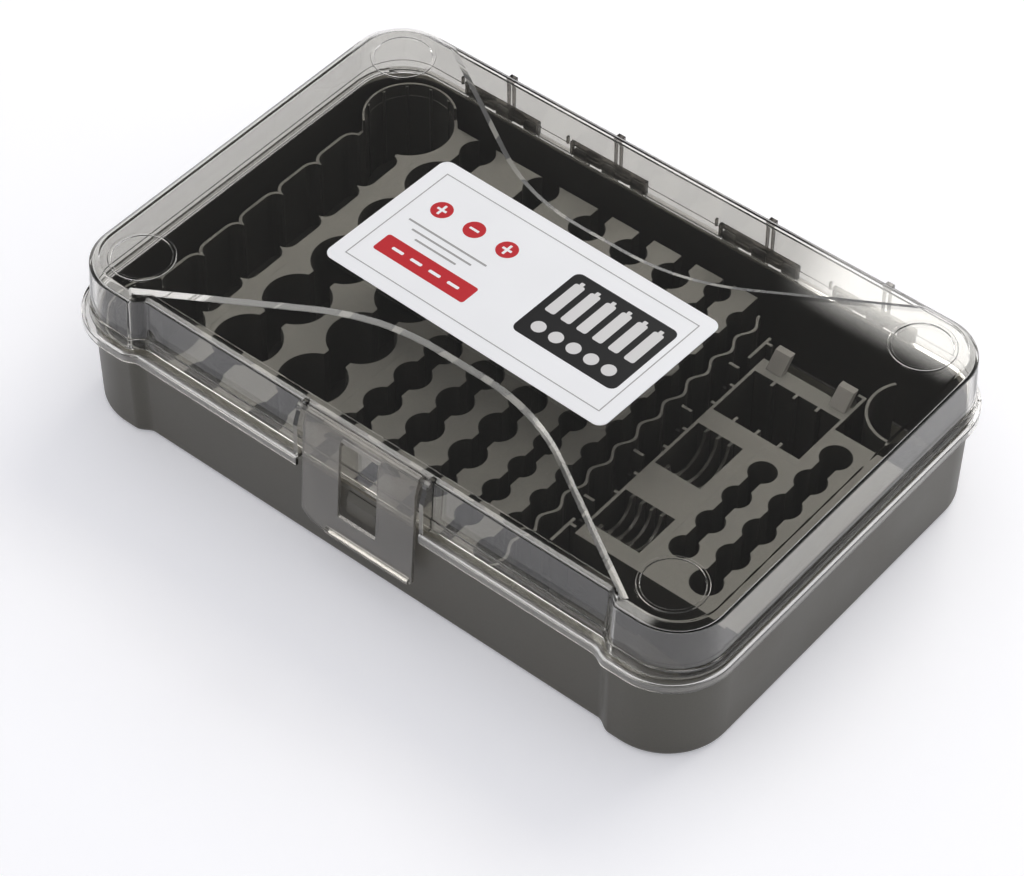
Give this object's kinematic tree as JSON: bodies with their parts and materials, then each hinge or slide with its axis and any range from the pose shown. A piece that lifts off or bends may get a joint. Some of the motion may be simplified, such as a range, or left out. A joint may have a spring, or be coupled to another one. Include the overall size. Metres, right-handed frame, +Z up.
{
  "type": "battery storage case",
  "caption": "Hinged-lid battery storage case: dark tray with round, oblong and slotted cell pockets under a smoke-clear lid with a front latch.",
  "frame": {"origin": "centre of the tray's foot, on the surface that the case stands on", "axes": "+X along the length, to the right as seen from the latch; -Y to the front, where the latch is; +Z up"},
  "size_m": [0.295, 0.195, 0.07],
  "materials": {
    "tray": "fine matt moulded polypropylene, charcoal",
    "rack": "satin moulded plastic, ash grey",
    "tab": "satin moulded plastic, light grey",
    "pin": "smooth nylon, dark grey",
    "lid": "clear polystyrene with a light smoke tint, polished",
    "label": "printed vinyl sticker, satin",
    "latch": "clear polystyrene with a light smoke tint, polished"
  },
  "bodies": {
    "tray": {"tray_shell": "tray", "rack_d_9v": "rack", "rack_c": "rack", "rack_aa": "rack", "rack_aaa": "rack", "wavy_divider": "rack", "channel_ribs": "rack", "bay_block": "rack", "button_rack": "rack", "coin_fins_large": "rack", "coin_fins_small": "rack", "tester_tab_left": "tab", "tester_tab_right": "tab", "corner_wall": "rack", "bracket_rear": "rack", "bracket_front": "rack", "hinge_pin_1": "pin", "hinge_pin_2": "pin", "hinge_pin_3": "pin", "hinge_pin_4": "pin"},
    "lid": {"lid_shell": "lid", "lid_label": "label", "latch_pin_left": "pin", "latch_pin_right": "pin"},
    "latch": {"latch": "latch"}
  },
  "joints": [
    {"name": "lid_hinge", "type": "hinge", "parent": "tray", "child": "lid", "pos_m": [0, 0.0957, 0.0455], "axis": [-1, 0, 0], "range_deg": [0, 110]},
    {"name": "latch_pivot", "type": "hinge", "parent": "lid", "child": "latch", "pos_m": [0, -0.0901, 0.0675], "axis": [-1, 0, 0], "range_deg": [0, 100]}
  ]
}
